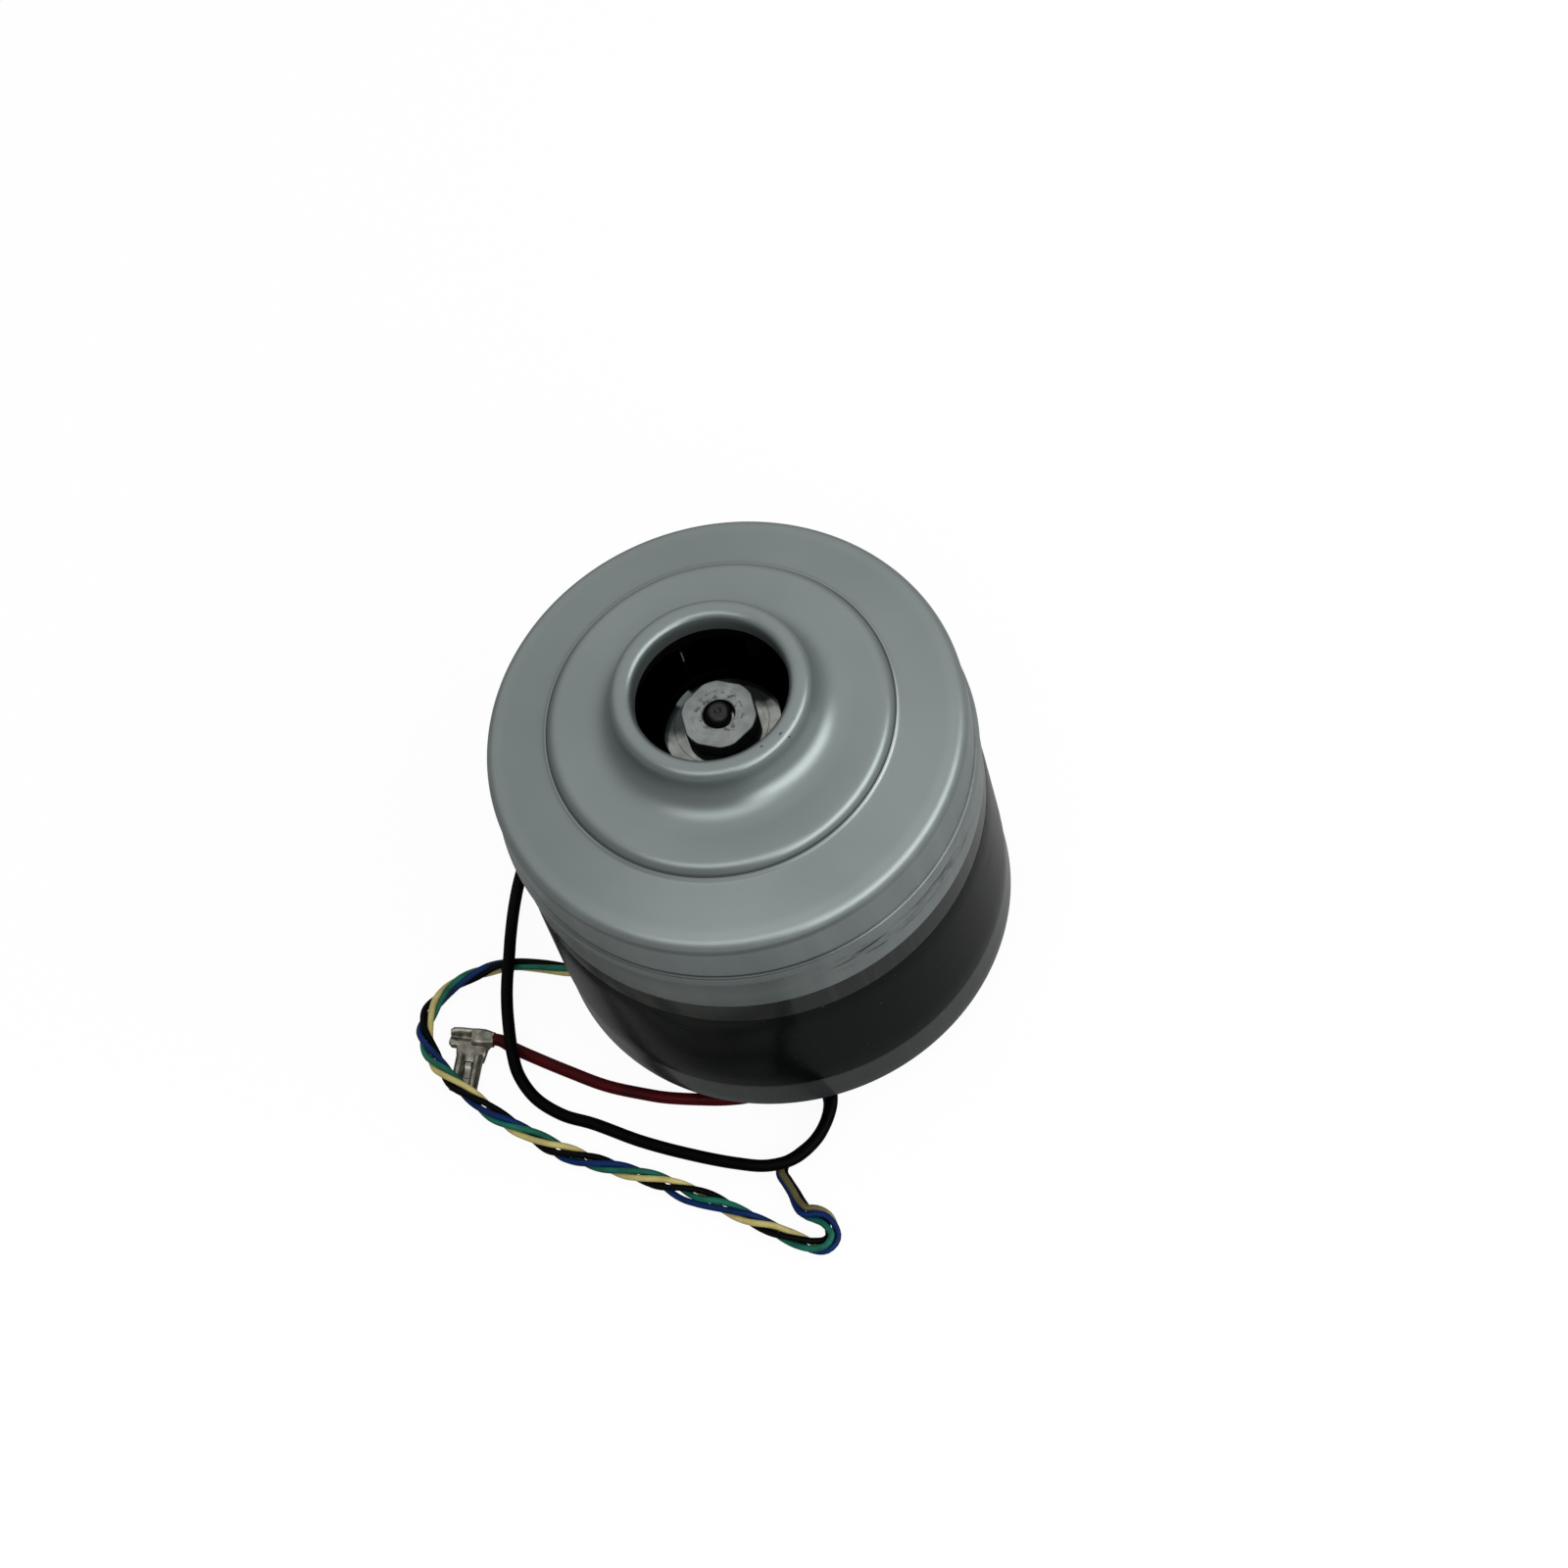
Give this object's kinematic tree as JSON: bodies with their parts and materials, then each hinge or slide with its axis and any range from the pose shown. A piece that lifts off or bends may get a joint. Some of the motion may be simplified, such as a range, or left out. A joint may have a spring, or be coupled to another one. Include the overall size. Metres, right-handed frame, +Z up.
{
  "type": "vacuum motor unit",
  "caption": "Round vacuum motor unit: pressed fan cover with a rolled inlet lip on a wrapped motor can, impeller on a shaft, rubber rear mount, power leads and a signal bundle.",
  "frame": {"origin": "on the standing surface, under the shaft axis, at the foot of the rubber rear mount", "axes": "+Z up along the shaft towards the inlet, -Y towards the side where the leads come out"},
  "size_m": [0.1637, 0.1718, 0.1235],
  "materials": {
    "zinc_sheet": "satin",
    "can_grey": "satin",
    "black_film": "gloss",
    "cast_alloy": "matte",
    "steel": "satin",
    "tinned": "satin",
    "impeller_alloy": "satin",
    "lamination": "matte",
    "magnet": "satin",
    "copper": "gloss",
    "dark_plastic": "matte",
    "white_plastic": "matte",
    "board_green": "satin",
    "capacitor_sleeve": "gloss",
    "black_rubber": "matte",
    "black_wire": "satin",
    "red_wire": "satin",
    "signal_wire": "satin"
  },
  "bodies": {
    "housing": {"fan_cover": "zinc_sheet", "fan_shell": "zinc_sheet", "inlet_seal": "dark_plastic", "diffuser": "dark_plastic", "front_bracket": "cast_alloy", "bracket_screws": "steel", "motor_can": "can_grey", "can_wrap": "black_film", "end_plate": "cast_alloy", "rear_mount": "black_rubber", "front_bearing_outer": "steel", "front_bearing_balls": "steel", "rear_bearing_outer": "steel", "rear_bearing_balls": "steel", "preload_washer": "steel", "stator_core": "lamination", "coil_bobbins": "white_plastic", "stator_coils": "copper", "driver_board": "board_green", "board_capacitors": "capacitor_sleeve", "power_transistors": "dark_plastic", "board_screws": "steel", "lead_grommet": "black_rubber", "black_lead": "black_wire", "red_lead": "red_wire", "signal_bundle": "signal_wire", "red_terminal": "tinned", "black_terminal": "tinned", "signal_connector": "white_plastic"},
    "rotor": {"rotor_shaft": "steel", "rotor_core": "lamination", "rotor_magnets": "magnet", "front_bearing_inner": "steel", "rear_bearing_inner": "steel", "impeller_spacer": "steel", "impeller_back_disc": "impeller_alloy", "impeller_vanes": "impeller_alloy", "impeller_front_disc": "impeller_alloy", "clamp_washer": "steel", "impeller_nut": "steel"}
  },
  "joints": [
    {"name": "rotor_spin", "type": "hinge", "parent": "housing", "child": "rotor", "pos_m": [0, 0, 0.06], "axis": [0, 0, 1], "continuous": true}
  ]
}
